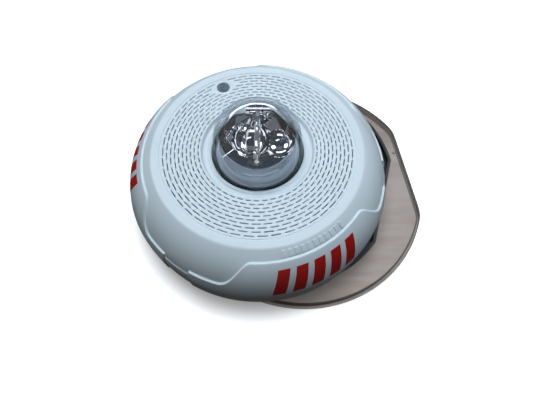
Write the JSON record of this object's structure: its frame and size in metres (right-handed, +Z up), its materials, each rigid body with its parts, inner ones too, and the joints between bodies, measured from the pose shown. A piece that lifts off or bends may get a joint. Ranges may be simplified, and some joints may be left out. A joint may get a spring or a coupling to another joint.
{
  "type": "ceiling horn strobe",
  "caption": "Round ceiling alarm sounder with a clear domed flash lens, rings of sound slots, a black mounting plate and a smoky dust cover, loosely stacked.",
  "frame": {"origin": "centre of the whole stack's box, on the surface it stands on", "axes": "+Z up along the axes of the head, plate and dust cover; +X to the right, where the dust cover sticks out furthest; +Y away from the viewer"},
  "size_m": [0.2034, 0.1796, 0.0787],
  "materials": {
    "white_plastic": "fine moulded texture",
    "white_plastic_inner": "plain moulded",
    "clear_lens": "clear polished",
    "mirror_chrome": "vacuum metallised mirror",
    "tube_glass": "clear",
    "plated_steel": "zinc plated",
    "copper_wire": "tinned",
    "coil_black": "potted",
    "board_green": "solder resist",
    "chip_black": "moulded",
    "capacitor_sleeve": "shrink sleeve",
    "choke_brown": "wound and varnished",
    "brass_disc": "rolled",
    "wire_red": "insulated",
    "black_plastic": "moulded",
    "brass_contacts": "plated",
    "switch_grey": "moulded",
    "terminal_grey": "moulded",
    "smoke_plastic": "smoky translucent, formed sheet"
  },
  "bodies": {
    "cover": {"dust_cover": "smoke_plastic"},
    "plate": {"mounting_plate": "black_plastic", "terminal_block": "terminal_grey", "terminal_clamps": "brass_contacts", "terminal_screws": "plated_steel", "screw_insert": "brass_contacts"},
    "spring": {"shorting_spring": "brass_contacts"},
    "head": {"front_cover": "white_plastic", "lens": "clear_lens", "reflector": "mirror_chrome", "strobe_base": "white_plastic_inner", "flash_tube": "tube_glass", "tube_electrodes": "plated_steel", "tube_leads": "copper_wire", "trigger_coil": "coil_black", "circuit_board": "board_green", "board_chips": "chip_black", "power_transistor": "chip_black", "storage_capacitor": "capacitor_sleeve", "boost_inductor": "choke_brown", "piezo_disc": "brass_disc", "sounder_holder": "white_plastic_inner", "sounder_leads": "wire_red", "rear_housing": "black_plastic", "housing_screws": "plated_steel", "contact_pins": "brass_contacts", "candela_switch": "switch_grey", "tone_switch": "switch_grey"},
    "clip": {"screw_clip": "plated_steel"},
    "screw": {"captive_screw": "plated_steel"},
    "candela_knob": {"candela_selector": "white_plastic_inner"},
    "tone_rotor": {"tone_selector": "white_plastic_inner"}
  },
  "joints": [
    {"name": "plate_lift", "type": "slide", "parent": "cover", "child": "plate", "axis": [0, 0, 1], "range_m": [0, 0.05]},
    {"name": "head_lift", "type": "slide", "parent": "plate", "child": "head", "axis": [0, 0, 1], "range_m": [0, 0.06]},
    {"name": "spring_flex", "type": "hinge", "parent": "plate", "child": "spring", "pos_m": [-0.00613, 0.0016, 0.0146], "axis": [0, 1, 0], "range_deg": [0, 4.5], "stiffness_Nm_per_rad": 0.02},
    {"name": "screw_travel", "type": "slide", "parent": "head", "child": "clip", "axis": [0, 0, 1], "range_m": [0, 0.004]},
    {"name": "screw_turn", "type": "hinge", "parent": "clip", "child": "screw", "pos_m": [-0.03917, 0.0463, 0.034], "axis": [0, 0, 1], "continuous": true},
    {"name": "candela_slide", "type": "slide", "parent": "head", "child": "candela_knob", "axis": [1, 0, 0], "range_m": [-0.009, 0.009]},
    {"name": "tone_turn", "type": "hinge", "parent": "head", "child": "tone_rotor", "pos_m": [0.02287, 0.0125, 0.026], "axis": [0, 0, 1], "range_deg": [-135, 135]}
  ]
}
